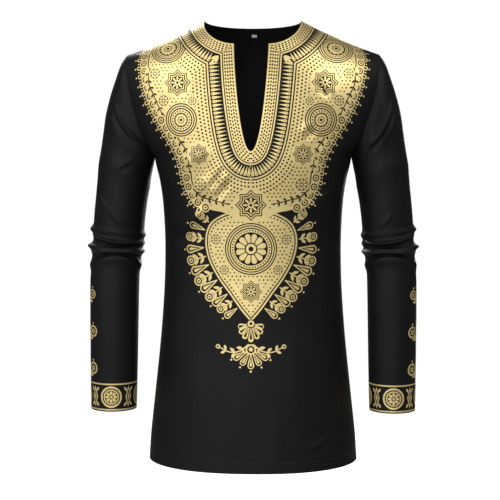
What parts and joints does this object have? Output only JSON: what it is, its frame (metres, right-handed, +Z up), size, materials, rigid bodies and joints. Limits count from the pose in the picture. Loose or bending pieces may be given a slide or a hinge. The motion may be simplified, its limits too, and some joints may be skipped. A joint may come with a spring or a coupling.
{
  "type": "tunic shirt",
  "caption": "Hollow long-sleeved pullover tunic with a round collarless neck and an open chest slit, shaped at the waist and filled out as if worn.",
  "frame": {"origin": "midpoint between the two high shoulder points, where neck and shoulder seams meet", "axes": "+X to the wearer's left, -Y out of the chest, +Z up"},
  "size_m": [0.6086, 0.2574, 0.8062],
  "materials": {
    "body_cloth": "black sateen weave with a soft sheen, gold foil print on the front",
    "sleeve_cloth": "black sateen weave with a soft sheen, gold foil print at the cuffs",
    "label_cloth": "woven black satin tape",
    "gold_print": "pale gold foil print, satin metallic",
    "thread": "black polyester sewing thread"
  },
  "bodies": {
    "root": {"front": "body_cloth", "back": "body_cloth", "sleeve_left": "sleeve_cloth", "sleeve_right": "sleeve_cloth", "neck_label": "label_cloth"}
  },
  "joints": []
}
